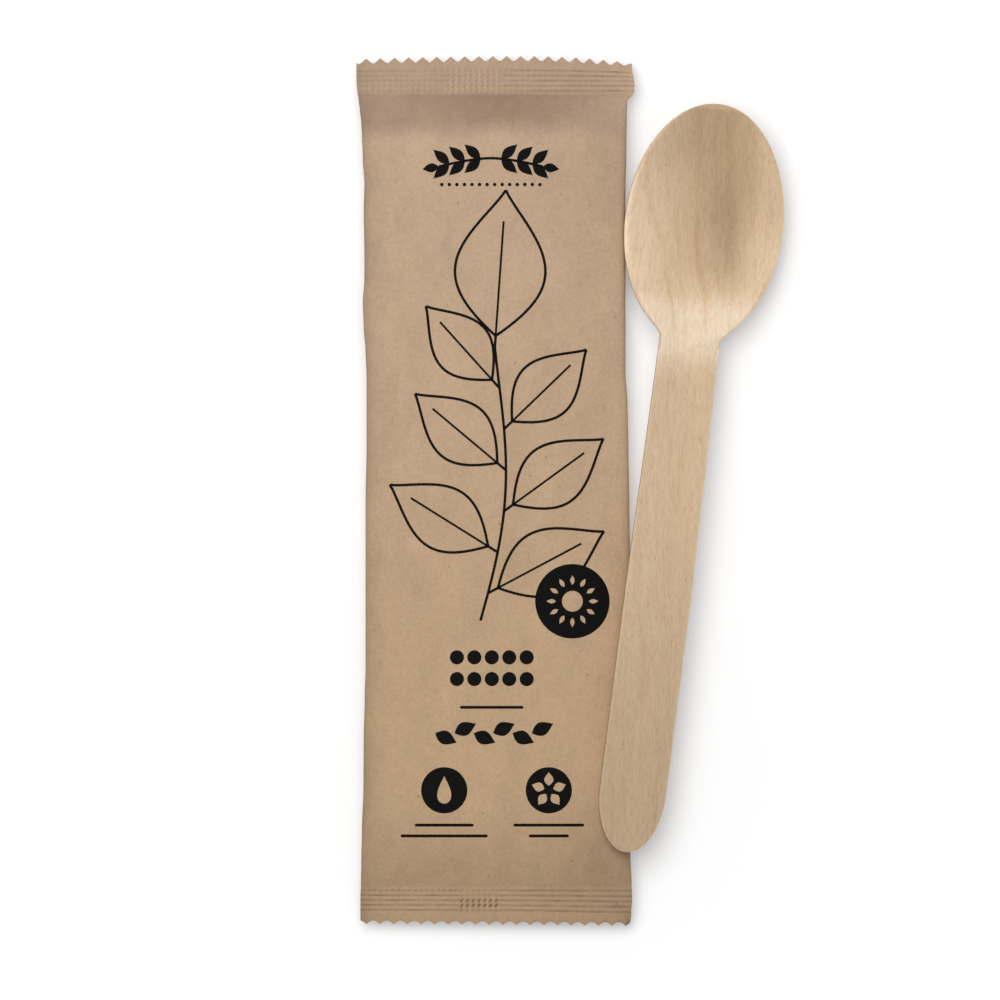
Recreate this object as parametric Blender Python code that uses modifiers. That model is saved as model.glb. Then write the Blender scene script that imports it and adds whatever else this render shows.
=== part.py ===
"""A sealed kraft paper pack of wooden spoons, with one loose spoon leaning on its edge.

Metres, +Z up. The pack lies on its back: +Y runs to its bowl end and the origin is the middle
of its back, on the surface that it rests on. The loose spoon's bowl stands on that surface
beside the pack, and its handle rests on the pack's rounded side.
"""

import functools
import math

import bmesh
import bpy
from mathutils import Euler, Vector

MM = 0.001

# Paper pack: a tube of paper, pressed flat and crimped at both ends
PACK_LENGTH = 184.8 * MM  # between the tooth tips of the two ends
FLAT_WIDTH = 58.8 * MM  # the tube pressed flat, half of its girth
BOWL_END_THICKNESS = 9.8 * MM
HANDLE_END_THICKNESS = 8.8 * MM
FRONT_ROUNDNESS = 2.5  # superellipse powers of the section: a higher one is boxier
BACK_ROUNDNESS = 3.0
BOWL_END_SHOULDER = 17.0 * MM  # length over which the paper rises from a seal to full thickness
HANDLE_END_SHOULDER = 21.0 * MM
BOWL_END_STEEPNESS = 3.2  # powers of that rise: a higher one starts steeper at the seal
HANDLE_END_STEEPNESS = 2.2

# End seals: two plies pressed together, with cross grooves and a toothed cut
SEAL_DEPTH = 8.3 * MM
SEAL_THICKNESS = 0.5 * MM
SEAL_HEIGHT = 4.6 * MM
SEAL_DROOP = 1.4 * MM  # how much lower the toothed edge hangs than the seal's root
CUT_BOW = 4.2 * MM  # the bowl end's cut is bowed: this much times the square of the share
CUT_CREST = 0.31  # of the width between a place and the crest, which lies at this share
CUT_SLANT = 0.3 * MM  # how much longer the handle end is at its +X corner
TEETH = 20
TOOTH_DEPTH = 1.15 * MM
CRIMP_GROOVES = 5
CRIMP_PITCH = 1.08 * MM
CRIMP_DEPTH = 0.3 * MM
CRIMP_MARGIN = 2.6 * MM  # from the tooth tips to the first groove

# Back seam: the web's two long edges joined as a fin, which is folded flat on the back
FIN_WIDTH = 9.6 * MM
FIN_THICKNESS = 0.3 * MM
FIN_FOLD_X = 0.7 * MM
FIN_EDGE_RUN = 0.15 * MM  # width of the step at each side of the fin

# Spoon: one piece of pressed veneer, measured from the end of its handle
SPOON_LENGTH = 160.0 * MM
VENEER = 1.6 * MM
EDGE_ROUND = 0.35 * MM
BOWL_TIP_LENGTH = 26.0 * MM  # from the bowl's widest place to the tip
BOWL_NECK_LENGTH = 25.0 * MM  # and to where its ellipse would close inside the handle
BOWL_HALF_WIDTH = 16.8 * MM
BOWL_DEPTH = 5.5 * MM
BOWL_WALL_POWER = 1.25  # 1 is a plain paraboloid, and more eases the wall into the rim
RIM_DIP = 0.8 * MM  # how far the rim sinks between the neck and the tip
TIP_LIFT = 0.7 * MM
NECK_HALF_WIDTH = 6.35 * MM
NECK_FILLET = 2.5 * MM
HANDLE_HALF_WIDTH = 7.05 * MM
HANDLE_END_ROUND = 13.0 * MM  # length of the half ellipse that ends the handle
HANDLE_ARCH = 1.0 * MM

# Where the loose spoon leans
SPOON_TURN = math.radians(7.2)  # the tip turns away from the pack
SPOON_ROLL = math.radians(5.0)  # its outer side lies lower
TIP_SETBACK = 10.3 * MM  # from the pack's upper tooth tips to the spoon's tip, measured flat
SEAT_GAP = 0.3 * MM  # between the spoon and the paper that it leans on
STEEPEST_PITCH = math.radians(20.0)

# Mesh fineness
ARC_STEPS = 96
SHOULDER_ROWS = 8
BODY_ROWS = 12
SPOON_COLUMNS = 12
END_ROWS = 7
HANDLE_ROWS = 8
NECK_ROWS = 8
BOWL_ROWS = 9
SOLVER_STEPS = 24
WIDTH_STEP = 0.5 * MM  # the tube's width is solved this often along the pack

KRAFT_COLOUR = (186, 157, 128)
BIRCH_COLOUR = (204, 178, 147)

HALF_LENGTH = PACK_LENGTH / 2
SEAL_ROOT = HALF_LENGTH - SEAL_DEPTH
BOWL_CENTRE = SPOON_LENGTH - BOWL_TIP_LENGTH
NECK = BOWL_CENTRE - BOWL_NECK_LENGTH * math.sqrt(1 - (NECK_HALF_WIDTH / BOWL_HALF_WIDTH) ** 2)


def mix(low, high, share):
    return low + (high - low) * share


def clamp(value):
    return min(max(value, 0.0), 1.0)


def bisect(function, low, high):
    """The value between low and high at which an increasing function crosses zero."""
    for _ in range(SOLVER_STEPS):
        middle = (low + high) / 2
        if function(middle) > 0:
            high = middle
        else:
            low = middle
    return (low + high) / 2


def shoulder_rise(distance, length, steepness):
    """0 at a seal's root and 1 where the pack has its full thickness, steepest at the root."""
    return 1 - (1 - clamp(distance / length)) ** steepness


def fullness(y):
    bowl_end = shoulder_rise(SEAL_ROOT - y, BOWL_END_SHOULDER, BOWL_END_STEEPNESS)
    handle_end = shoulder_rise(SEAL_ROOT + y, HANDLE_END_SHOULDER, HANDLE_END_STEEPNESS)
    return min(bowl_end, handle_end)


def full_thickness(y):
    return mix(HANDLE_END_THICKNESS, BOWL_END_THICKNESS, clamp(0.5 + y / PACK_LENGTH))


def thickness(y):
    return mix(SEAL_THICKNESS, full_thickness(y), fullness(y))


def seal_share(y):
    """0 in the body, and rising to 1 at the toothed edge of a seal."""
    return clamp((abs(y) - SEAL_ROOT) / SEAL_DEPTH)


def mid_height(y):
    """Height of the side folds: half the thickness in the body, and drooping along a seal."""
    seal = SEAL_HEIGHT - SEAL_DROOP * seal_share(y)
    body = FIN_THICKNESS + full_thickness(y) / 2
    return mix(seal, body, fullness(y))


def half_section(half_width, height, power):
    """Points (x, z) of one side of the section, from the left fold to the right one."""
    points = []
    for step in range(ARC_STEPS + 1):
        angle = math.pi * (1 - step / ARC_STEPS)
        across = math.cos(angle)
        x = math.copysign(abs(across) ** (2 / power), across) * half_width
        z = abs(math.sin(angle)) ** (2 / power) * height
        points.append(Vector((x, z)))
    points[0] = Vector((-half_width, 0))
    points[-1] = Vector((half_width, 0))
    return points


def arc_lengths(points):
    lengths = [0.0]
    for before, after in zip(points, points[1:]):
        lengths.append(lengths[-1] + (after - before).length)
    return lengths


@functools.cache
def solved_half_width(step):
    """The girth of the paper stays the same, so the tube is narrower where it is thicker."""
    half_height = thickness(step * WIDTH_STEP) / 2

    def excess(width):
        front = arc_lengths(half_section(width, half_height, FRONT_ROUNDNESS))[-1]
        back = arc_lengths(half_section(width, half_height, BACK_ROUNDNESS))[-1]
        return front + back - 2 * FLAT_WIDTH

    return bisect(excess, FLAT_WIDTH / 4, FLAT_WIDTH / 2)


def half_width(y):
    step = math.floor(y / WIDTH_STEP)
    return mix(solved_half_width(step), solved_half_width(step + 1), y / WIDTH_STEP - step)


def front_height(x, y):
    """Height of the pack's front at a place seen from above, or None outside the pack."""
    across = abs(x) / half_width(y)
    if across >= 1 or abs(y) > HALF_LENGTH:
        return None
    return mid_height(y) + thickness(y) / 2 * (1 - across**FRONT_ROUNDNESS) ** (1 / FRONT_ROUNDNESS)


def points_at(points, fractions):
    """Points at these fractions of a line's length."""
    lengths = arc_lengths(points)
    found = []
    step = 1
    for fraction in fractions:
        wanted = fraction * lengths[-1]
        while step < len(points) - 1 and lengths[step] < wanted:
            step += 1
        share = (wanted - lengths[step - 1]) / (lengths[step] - lengths[step - 1])
        found.append(points[step - 1].lerp(points[step], share))
    return found


def web_columns():
    """Fractions across the flat tube, each with the depth by which the back stands out there."""
    teeth = [(step / (2 * TEETH), None) for step in range(2 * TEETH + 1)]
    fold = 0.5 + FIN_FOLD_X / FLAT_WIDTH
    free_edge = fold - FIN_WIDTH / FLAT_WIDTH
    run = FIN_EDGE_RUN / FLAT_WIDTH
    fin = [(free_edge - run, 0.0), (free_edge, FIN_THICKNESS), (fold, FIN_THICKNESS), (fold + run, 0.0)]
    columns = []
    for fraction, depth in sorted(teeth + fin, key=lambda column: column[0]):
        if depth is None:
            depth = FIN_THICKNESS if free_edge < fraction < fold else 0.0
        columns.append((fraction, depth))
    return columns


def tooth_cut(fraction):
    """How far a toothed edge lies inside its tips, at a fraction across the tube."""
    return abs(1 - (fraction * TEETH * 2) % 2) * TOOTH_DEPTH


def cut_offset(y, fraction):
    """How far the paper near a cut end is moved along Y, so that the cut is bowed or slanted."""
    if y > 0:
        return -seal_share(y) * CUT_BOW * (fraction - CUT_CREST) ** 2
    return -seal_share(y) * CUT_SLANT * fraction


def seal_rows():
    """Distances from the tooth tips, each with the depth of a crimp groove there."""
    rows = []
    for step in range(2 * CRIMP_GROOVES + 1):
        depth = CRIMP_DEPTH if step % 2 else 0.0
        rows.append((CRIMP_MARGIN + step * CRIMP_PITCH / 2, depth))
    rows.append((SEAL_DEPTH, 0.0))
    return rows


def web_rows():
    """The stations along the pack, as (y, groove depth, whether the edge is toothed there)."""
    rows = []
    for end, shoulder in ((-1, HANDLE_END_SHOULDER), (1, BOWL_END_SHOULDER)):
        rows.append((end * HALF_LENGTH, 0.0, True))
        rows += [(end * (HALF_LENGTH - inset), depth, False) for inset, depth in seal_rows()]
        for step in range(1, SHOULDER_ROWS + 1):
            run = shoulder * (step / SHOULDER_ROWS) ** 1.5
            rows.append((end * (SEAL_ROOT - run), 0.0, False))
    first = HANDLE_END_SHOULDER - SEAL_ROOT
    last = SEAL_ROOT - BOWL_END_SHOULDER
    rows += [(mix(first, last, step / BODY_ROWS), 0.0, False) for step in range(1, BODY_ROWS)]
    return sorted(rows)


def web_point(row, place, fraction, outward, fin_depth):
    """A point of the paper. outward is 1 on the front and -1 on the back."""
    y, groove, toothed = row
    z = mid_height(y) + outward * place.y - groove
    if fin_depth:
        z = mid_height(y) - thickness(y) / 2 - fin_depth - groove
    if toothed:
        y = math.copysign(abs(y) - tooth_cut(fraction), y)
    return Vector((place.x, y + cut_offset(row[0], fraction), z))


def add_web_side(mesh, rows, columns, outward, power):
    """One side of the tube as a sheet. It gives the vertices of its two toothed edges."""
    made = bmesh.ops.create_grid(mesh, x_segments=len(columns) - 1, y_segments=len(rows) - 1, size=1)
    vertices = sorted(made["verts"], key=lambda vertex: (round(vertex.co.y, 4), vertex.co.x))
    fractions = [fraction for fraction, _ in columns]
    for number, row in enumerate(rows):
        section = half_section(half_width(row[0]), thickness(row[0]) / 2, power)
        places = points_at(section, fractions)
        line = vertices[number * len(columns) : (number + 1) * len(columns)]
        for vertex, place, (fraction, fin_depth) in zip(line, places, columns):
            vertex.co = web_point(row, place, fraction, outward, fin_depth if outward < 0 else 0.0)
    return [vertices[: len(columns)], vertices[-len(columns) :]]


def build_pack():
    mesh = bmesh.new()
    rows = web_rows()
    columns = web_columns()
    front_ends = add_web_side(mesh, rows, columns, 1, FRONT_ROUNDNESS)
    back_ends = add_web_side(mesh, rows, columns, -1, BACK_ROUNDNESS)
    for front, back in zip(front_ends, back_ends):
        for step in range(len(columns) - 1):
            mesh.faces.new((front[step], front[step + 1], back[step + 1], back[step]))
    bmesh.ops.remove_doubles(mesh, verts=mesh.verts, dist=0.01 * MM)
    bmesh.ops.recalc_face_normals(mesh, faces=mesh.faces)
    return mesh


def smooth_maximum(first, second, blend):
    near = max(blend - abs(first - second), 0.0) / blend
    return max(first, second) + near * near * blend / 4


def along_bowl(station):
    """-1 where the bowl's ellipse closes at the neck, 0 at its widest place and 1 at the tip."""
    offset = station - BOWL_CENTRE
    return offset / (BOWL_TIP_LENGTH if offset > 0 else BOWL_NECK_LENGTH)


def spoon_half_width(station):
    """The outline: a tapering handle with a half-elliptical end, and an elliptical bowl."""
    from_end = clamp(station / HANDLE_END_ROUND)
    handle = mix(HANDLE_HALF_WIDTH, NECK_HALF_WIDTH, clamp((station / NECK - 0.5) * 2))
    handle *= math.sqrt(max(1 - (1 - from_end) ** 2, 0.0))
    bowl = BOWL_HALF_WIDTH * math.sqrt(max(1 - along_bowl(station) ** 2, 0.0))
    if station > NECK + NECK_FILLET:
        return bowl
    return smooth_maximum(handle, bowl, NECK_FILLET) if station > NECK - NECK_FILLET else handle


def spoon_height(station, across):
    """Height of the upper face: an arched handle, then a rim line with the bowl sunk into it."""
    if station < NECK:
        line = HANDLE_ARCH * (1 - (2 * station / NECK - 1) ** 2)
    else:
        line = -RIM_DIP * math.sin(math.pi * (station - NECK) / (SPOON_LENGTH - NECK))
    line += TIP_LIFT * max(along_bowl(station), 0.0) ** 2
    out = along_bowl(station) ** 2 + (across / BOWL_HALF_WIDTH) ** 2
    return line - BOWL_DEPTH * max(1 - out, 0.0) ** BOWL_WALL_POWER


def spoon_stations():
    """Rows along the spoon, closer together at its round ends and at the neck's fillet."""
    neck_start = NECK - 2 * NECK_FILLET
    neck_end = NECK + 3 * NECK_FILLET
    tip_start = BOWL_CENTRE + BOWL_TIP_LENGTH / 2
    stations = []
    for step in range(END_ROWS):
        stations.append(HANDLE_END_ROUND * (1 - math.cos(math.pi / 2 * step / END_ROWS)))
    stations += [mix(HANDLE_END_ROUND, neck_start, step / HANDLE_ROWS) for step in range(HANDLE_ROWS)]
    stations += [mix(neck_start, neck_end, step / NECK_ROWS) for step in range(NECK_ROWS)]
    stations += [mix(neck_end, tip_start, step / BOWL_ROWS) for step in range(BOWL_ROWS)]
    for step in range(END_ROWS + 1):
        stations.append(mix(tip_start, SPOON_LENGTH, math.sin(math.pi / 2 * step / END_ROWS)))
    return stations


def spoon_acrosses(station):
    """Places across the spoon at a station, closer together near its edges."""
    width = spoon_half_width(station)
    turns = [step / SPOON_COLUMNS - 0.5 for step in range(SPOON_COLUMNS + 1)]
    return [width * math.sin(math.pi * turn) for turn in turns]


def build_spoon():
    """The upper face as a sheet, extruded straight down as the press cuts and forms the veneer."""
    mesh = bmesh.new()
    stations = spoon_stations()
    made = bmesh.ops.create_grid(mesh, x_segments=SPOON_COLUMNS, y_segments=len(stations) - 1, size=1)
    vertices = sorted(made["verts"], key=lambda vertex: (round(vertex.co.y, 4), vertex.co.x))
    for number, vertex in enumerate(vertices):
        row, column = divmod(number, SPOON_COLUMNS + 1)
        across = spoon_acrosses(stations[row])[column]
        vertex.co = Vector((across, stations[row], spoon_height(stations[row], across)))
    bmesh.ops.remove_doubles(mesh, verts=mesh.verts, dist=0.01 * MM)
    upper = list(mesh.faces)
    lower = bmesh.ops.extrude_face_region(mesh, geom=upper, use_keep_orig=True)["geom"]
    moved = [item for item in lower if isinstance(item, bmesh.types.BMVert)]
    bmesh.ops.translate(mesh, verts=moved, vec=(0, 0, -VENEER))
    bmesh.ops.recalc_face_normals(mesh, faces=mesh.faces)
    return mesh


def spoon_underside():
    """Points of the lower face in the spoon's own frame."""
    points = []
    for station in spoon_stations():
        for across in spoon_acrosses(station):
            points.append(Vector((across, station, spoon_height(station, across) - VENEER)))
    return points


def spoon_foot(slide):
    """Where the end of the handle lies, seen from above. slide is from the pack to the bowl's edge."""
    tip_y = HALF_LENGTH - TIP_SETBACK
    centre_y = tip_y - BOWL_TIP_LENGTH * math.cos(SPOON_TURN)
    reach = math.hypot(BOWL_HALF_WIDTH * math.cos(SPOON_TURN), BOWL_NECK_LENGTH * math.sin(SPOON_TURN))
    centre_x = half_width(centre_y) + slide + reach
    foot_x = centre_x - BOWL_CENTRE * math.sin(SPOON_TURN)
    return Vector((foot_x, tip_y - SPOON_LENGTH * math.cos(SPOON_TURN), 0))


def place_on_floor(underside, pitch, slide):
    """The spoon's origin and turn, and the underside's points, with the lowest one on the floor."""
    turn = Euler((-pitch, SPOON_ROLL, -SPOON_TURN), "YXZ")
    matrix = turn.to_matrix()
    origin = spoon_foot(slide)
    points = [matrix @ point + origin for point in underside]
    lift = Vector((0, 0, -min(point.z for point in points)))
    return origin + lift, turn, [point + lift for point in points]


def room_over_pack(points):
    """The least height of these points over the front of the pack, less the gap."""
    room = []
    for point in points:
        under = front_height(point.x, point.y)
        if under is not None:
            room.append(point.z - under - SEAT_GAP)
    return min(room, default=FLAT_WIDTH)


def lean_spoon():
    """The rest pose: bowl on the floor and against the pack's side, handle on the pack's edge."""
    underside = spoon_underside()
    handle = [point for point in underside if point.y < NECK]
    bowl = [point for point in underside if point.y >= NECK]

    def pitch_at(slide):
        def handle_room(pitch):
            lift = place_on_floor(bowl, pitch, slide)[0]
            matrix = Euler((-pitch, SPOON_ROLL, -SPOON_TURN), "YXZ").to_matrix()
            return room_over_pack([matrix @ point + lift for point in handle])

        return bisect(handle_room, 0.0, STEEPEST_PITCH)

    slide = bisect(
        lambda slide: room_over_pack(place_on_floor(bowl, pitch_at(slide), slide)[2]),
        -BOWL_HALF_WIDTH,
        BOWL_HALF_WIDTH,
    )
    return place_on_floor(bowl, pitch_at(slide), slide)[:2]


def linear(colour):
    """An 8-bit sRGB colour as the linear values that a shader takes."""
    values = [channel / 255 for channel in colour]
    return [value / 12.92 if value < 0.04045 else ((value + 0.055) / 1.055) ** 2.4 for value in values]


def make_material(name, colour, roughness):
    material = bpy.data.materials.new(name)
    material.use_nodes = True
    shader = material.node_tree.nodes["Principled BSDF"]
    shader.inputs["Base Color"].default_value = (*linear(colour), 1)
    shader.inputs["Roughness"].default_value = roughness
    shader.inputs["Metallic"].default_value = 0.0
    return material


def add_object(name, mesh, material, collection, parent):
    data = bpy.data.meshes.new(name)
    mesh.to_mesh(data)
    mesh.free()
    data.materials.append(material)
    data.shade_smooth()
    obj = bpy.data.objects.new(name, data)
    collection.objects.link(obj)
    obj.parent = parent
    return obj


def add_pack(collection, parent):
    material = make_material("kraft_paper", KRAFT_COLOUR, 0.75)
    pack = add_object("paper_pack", build_pack(), material, collection, parent)
    pack.data.set_sharp_from_angle(angle=math.radians(40))


def add_spoon(collection, parent):
    material = make_material("birch_veneer", BIRCH_COLOUR, 0.6)
    spoon = add_object("loose_spoon", build_spoon(), material, collection, parent)
    spoon.rotation_mode = "YXZ"
    spoon.location, spoon.rotation_euler = lean_spoon()
    edge = spoon.modifiers.new("tumbled_edge", "BEVEL")
    edge.width = EDGE_ROUND
    edge.segments = 1
    edge.limit_method = "ANGLE"
    edge.angle_limit = math.radians(50)


def main():
    for obj in list(bpy.data.objects):
        bpy.data.objects.remove(obj)
    collection = bpy.data.collections.new("wooden_spoon_pack")
    bpy.context.scene.collection.children.link(collection)
    base = bpy.data.objects.new("pack_and_spoon", None)
    collection.objects.link(base)
    add_pack(collection, base)
    add_spoon(collection, base)


main()
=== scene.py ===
"""Looks for a sealed kraft paper pack of wooden spoons and the loose birch spoon that leans on it.

It is laid out as an add-on and run as a script. Metres, +Z up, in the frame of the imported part:
the pack lies on its back with its bowl end towards +Y, and the spoon lies on its +X side.
"""

import functools
from math import ceil, copysign, cos, exp, floor, pi, radians, sin, sqrt

import bmesh
import bpy
from bpy.props import FloatProperty, FloatVectorProperty, PointerProperty
from mathutils import Color, Euler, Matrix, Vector, noise
from mathutils.bvhtree import BVHTree


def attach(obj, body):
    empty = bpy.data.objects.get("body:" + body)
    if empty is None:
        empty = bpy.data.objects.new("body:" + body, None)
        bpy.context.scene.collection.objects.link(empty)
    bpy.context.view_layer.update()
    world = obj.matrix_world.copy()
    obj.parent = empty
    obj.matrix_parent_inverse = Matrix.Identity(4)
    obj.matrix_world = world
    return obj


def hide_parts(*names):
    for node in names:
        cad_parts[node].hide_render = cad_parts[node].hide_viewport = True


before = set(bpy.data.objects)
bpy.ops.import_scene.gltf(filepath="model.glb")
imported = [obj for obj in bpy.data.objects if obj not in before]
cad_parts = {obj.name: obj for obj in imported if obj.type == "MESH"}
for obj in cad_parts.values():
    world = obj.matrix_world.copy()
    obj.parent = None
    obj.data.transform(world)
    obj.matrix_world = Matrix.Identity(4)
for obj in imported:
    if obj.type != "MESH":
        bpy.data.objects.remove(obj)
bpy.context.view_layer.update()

bl_info = {
    "name": "Wooden spoon pack",
    "version": (1, 0, 0),
    "blender": (4, 5, 0),
    "location": "3D View > Sidebar > Spoon pack",
    "description": "Kraft paper pack of wooden spoons with a loose spoon, on a white studio floor",
    "category": "Object",
}

MM = 0.001


def length(name, description, default):
    """A length property in metres, given in millimetres."""
    return FloatProperty(name=name, description=description, default=default * MM, unit="LENGTH", precision=5)


def colour(name, description, default):
    """An sRGB colour property, given as 8-bit channels."""
    shares = [channel / 255 for channel in default]
    return FloatVectorProperty(
        name=name, description=description, default=shares, subtype="COLOR_GAMMA", min=0, max=1
    )


class PaperSettings(bpy.types.PropertyGroup):
    """Sizes and colours of the paper pack."""

    pack_length: length("Length", "Between the tooth tips of the two ends", 184.8)
    flat_width: length("Flat width", "Width of the paper tube pressed flat", 58.8)
    bowl_end_thickness: length("Bowl end thickness", "Thickness of the full pack at its bowl end", 9.8)
    handle_end_thickness: length("Handle end thickness", "Thickness at its handle end", 8.8)
    seal_depth: length("Seal depth", "From the tooth tips to the seal's root", 8.3)
    tooth_depth: length("Tooth depth", "Depth of the saw-tooth cut at the bowl end", 1.3)
    groove_depth: length("Groove depth", "Depth of the cross grooves in the seals", 0.2)
    groove_width: length("Groove width", "Half width of a cross groove", 0.19)
    knurl_pitch: length("Knurl pitch", "Distance between the knurl's leaning dents", 1.225)
    fin_width: length("Fin width", "Width of the folded seam on the back", 9.6)
    wrinkle_height: length("Wrinkle height", "Height of the paper's soft unevenness", 0.22)
    kraft: colour("Kraft", "Plain brown kraft", (189, 161, 133))
    kraft_light: colour("Light fibres", "Kraft where the fibres lie lighter", (201, 174, 147))
    kraft_dark: colour("Dark fibres", "Kraft where the fibres lie darker", (170, 141, 113))
    fleck: colour("Fleck", "Specks of bark in the pulp", (112, 84, 62))


class PrintSettings(bpy.types.PropertyGroup):
    """Sizes and colour of the print on the pack's front."""

    line_width: length("Line width", "Width of the drawn lines", 0.56)
    ink_height: length("Ink height", "How far the ink's face lies above the paper", 0.035)
    badge_radius: length("Badge radius", "Radius of the two small round badges", 4.9)
    large_badge_radius: length("Large badge radius", "Radius of the large round badge", 7.9)
    ink: colour("Ink", "Black printing ink on kraft", (9, 8, 7))


class SpoonSettings(bpy.types.PropertyGroup):
    """Sizes and colours of the loose spoon."""

    spoon_length: length("Length", "From the handle's end to the tip", 160.0)
    veneer: length("Veneer", "Thickness of the birch veneer", 1.6)
    edge_round: length("Edge round", "Radius that tumbling leaves on the edges", 0.38)
    bowl_half_width: length("Bowl half width", "Half of the bowl's widest place", 16.8)
    bowl_depth: length("Bowl depth", "Depth of the bowl under its rim", 5.5)
    birch: colour("Birch", "Plain birch", (209, 181, 148))
    birch_light: colour("Light grain", "Birch between its darker streaks", (222, 196, 164))
    birch_dark: colour("Dark grain", "Fine darker streaks", (191, 161, 127))
    figure: colour("Growth rings", "Stain of the growth rings", (226, 196, 150))
    pore: colour("Pores", "Short pores cut open along the grain", (158, 126, 92))


class StageSettings(bpy.types.PropertyGroup):
    """Camera and light."""

    camera_height: length("Camera height", "Height of the lens over the floor", 6000.0)
    frame_width: length("Frame width", "Width of the picture at half of the pack's height", 212.3)
    dome: FloatProperty(name="Dome", description="Light of the white surroundings", default=0.36, min=0)
    softbox: FloatProperty(name="Softbox", description="Power of the lamp in watts", default=8.15, min=0)
    floor_glow: FloatProperty(
        name="Floor glow", description="Glow of the floor near the pack, seen by the camera", default=0.302
    )


# Shape that the solids share: the pack
FRONT_ROUNDNESS = 2.5
BACK_ROUNDNESS = 3.0
BOWL_END_SHOULDER = 17.0 * MM
HANDLE_END_SHOULDER = 21.0 * MM
BOWL_END_STEEPNESS = 3.2
HANDLE_END_STEEPNESS = 2.2
SEAL_THICKNESS = 0.5 * MM
SEAL_HEIGHT = 4.6 * MM
SEAL_DROOP = 1.4 * MM
CRIMP_GROOVES = 5
CRIMP_PITCH = 1.08 * MM
FIRST_GROOVE = 3.14 * MM
FIN_THICKNESS = 0.3 * MM
FIN_FOLD_X = 0.7 * MM
FIN_EDGE_RUN = 0.15 * MM
KNURL_LEAN = 0.5
BOWL_END_KNURL = -10.44 * MM
HANDLE_END_KNURL = -7.48 * MM
# Stations along the pack from its handle end, in mm, each with its left and its right side fold's place
SIDE_FOLDS = (
    (-92.5, -29.0, 28.2), (-89.7, -29.0, 28.5), (-86.1, -29.0, 28.7), (-83.7, -28.9, 28.6),
    (-77.8, -28.8, 28.35), (-72.7, -28.7, 28.3), (-62.4, -28.35, 28.3), (-52.2, -28.3, 28.35),
    (-44.5, -28.1, 28.35), (-36.9, -27.9, 28.35), (-23.2, -27.9, 28.35), (-1.9, -27.9, 28.1),
    (9.2, -27.7, 27.9), (19.4, -27.7, 27.7), (24.5, -27.7, 27.3), (29.6, -27.9, 27.3),
    (34.7, -28.3, 27.3), (39.9, -28.5, 27.25), (45.0, -28.15, 27.3), (50.1, -28.15, 27.3),
    (59.9, -28.3, 27.25), (65.4, -28.15, 27.3), (70.5, -28.5, 27.45), (75.7, -28.7, 27.5),
    (78.0, -28.8, 27.55), (80.8, -29.1, 27.6), (82.9, -29.35, 27.65), (84.4, -29.6, 29.0),
    (84.7, -29.65, 29.15), (86.3, -29.8, 29.2), (87.6, -29.85, 29.05), (89.7, -29.85, 28.75),
    (92.5, -29.9, 28.65),
)
ARC_STEPS = 240
SOLVER_STEPS = 24
WIDTH_STEP = 0.5 * MM
FRONT_COLUMNS = 240
BACK_COLUMNS = 120

# Print
INK_FILM = 0.02 * MM
LARGE_BADGE = Vector((16.0, -23.4)) * MM
LEFT_BADGE = (-11.2 * MM, -63.5 * MM)
RIGHT_BADGE = (11.0 * MM, -63.5 * MM)
GARLAND = (-1.3 * MM, 70.6 * MM)
# The middle and the length of each printed rule, in mm
RULES = (
    (-1.1, -45.9, 13.5), (-11.2, -70.9, 12.5), (-11.2, -73.2, 18.5),
    (11.0, -70.9, 15.0), (11.0, -73.2, 8.5),
)
RULE_HEIGHT = 0.6 * MM

# Shape that the solids share: the spoon
BOWL_TIP_LENGTH = 26.0 * MM
BOWL_NECK_LENGTH = 25.0 * MM
BOWL_WALL_POWER = 1.25
RIM_DIP = 0.8 * MM
TIP_LIFT = 0.7 * MM
NECK_HALF_WIDTH = 6.35 * MM
NECK_FILLET = 2.5 * MM
HANDLE_HALF_WIDTH = 7.05 * MM
HANDLE_END_ROUND = 13.0 * MM
HANDLE_ARCH = 1.0 * MM
SPOON_TURN = radians(7.2)
SPOON_ROLL = radians(5.0)
SPOON_PITCH = radians(0.5292)
SPOON_ORIGIN = Vector((27.215, -76.638, 9.107)) * MM
GRAIN_TURN = radians(-2.0)
# Each ring's place across the bowl in mm, its half width in mm and its strength
GROWTH_RINGS = (
    (31.8, 1.2, 0.34), (42.9, 1.3, 0.32), (49.6, 1.5, 0.24),
    (54.5, 1.0, 0.14), (37.0, 0.9, 0.12), (46.4, 0.7, 0.10),
)

# Stage
FLOOR_HALF_SIZE = 4.0
FLOOR_DROP = 0.1 * MM
FLOOR_GREY = (0.78, 0.78, 0.78, 1)
FLOOR_GREY_SEEN = (0.74, 0.74, 0.74, 1)
FLOOR_FAR_GLOW = 0.9
HALF_PACK_HEIGHT = 5 * MM
LAMP_PLACE = Vector((-0.17, 0.30, 0.93))
LAMP_SIZE = 0.85
CAMERA_PLACE = Vector((0.64, -1.92)) * MM
SENSOR_WIDTH = 36.0


def mix(low, high, share):
    return low + (high - low) * share


def clamp(value):
    return min(max(value, 0.0), 1.0)


def smooth(low, high, value):
    """0 below low and 1 above high, with an eased rise between them."""
    share = clamp((value - low) / (high - low))
    return share * share * (3 - 2 * share)


def hump(value, centre, reach):
    """A rounded bump that is 1 at its centre and fades out over its reach."""
    return exp(-(((value - centre) / reach) ** 2))


def side_folds(y):
    """Where the left and the right side fold lie at a station of the pack, all in mm."""
    for below, above in zip(SIDE_FOLDS, SIDE_FOLDS[1:]):
        if y <= above[0]:
            break
    share = smooth(below[0], above[0], y)
    return mix(below[1], above[1], share), mix(below[2], above[2], share)


def bisect(function, low, high):
    """The value between low and high at which an increasing function crosses zero."""
    for _ in range(SOLVER_STEPS):
        middle = (low + high) / 2
        if function(middle) > 0:
            high = middle
        else:
            low = middle
    return (low + high) / 2


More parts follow.
